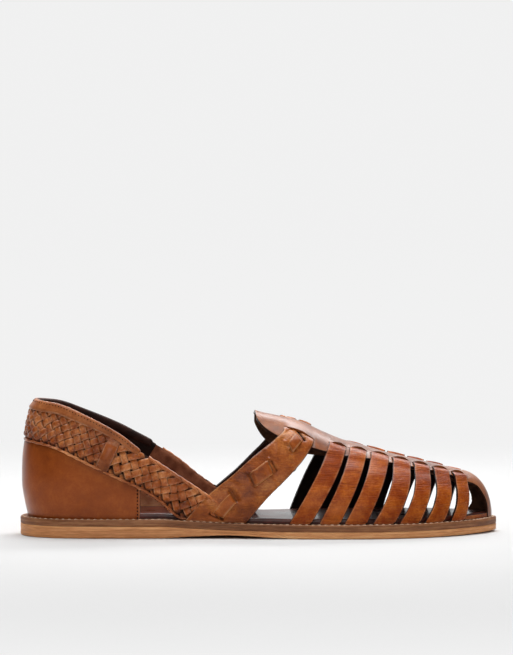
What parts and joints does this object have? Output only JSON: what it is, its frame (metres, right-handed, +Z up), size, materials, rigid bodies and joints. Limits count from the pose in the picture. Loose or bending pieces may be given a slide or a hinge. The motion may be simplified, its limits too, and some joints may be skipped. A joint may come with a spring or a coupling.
{
  "type": "fisherman sandal",
  "caption": "Flat leather fisherman sandal with a woven heel band, a broad instep strap, straps over the forefoot and a layered sole.",
  "frame": {"origin": "on the ground plane, under the middle of the sole's length and width", "axes": "+X from heel to toe, +Y to the medial side, +Z up"},
  "size_m": [0.295, 0.0984, 0.085],
  "materials": {
    "outsole": "smooth stacked sole leather",
    "midsole": "smooth, stitched round the edge",
    "insole": "glossy lining leather",
    "upper": "creased satin leather, woven at the heel band",
    "heel_counter": "smooth satin leather",
    "collar_binding": "smooth satin leather",
    "keeper": "smooth satin leather"
  },
  "bodies": {
    "root": {"outsole": "outsole", "midsole": "midsole", "insole": "insole", "upper": "upper", "heel_counter": "heel_counter", "collar_binding": "collar_binding", "keeper_lateral": "keeper", "keeper_medial": "keeper"}
  },
  "joints": []
}
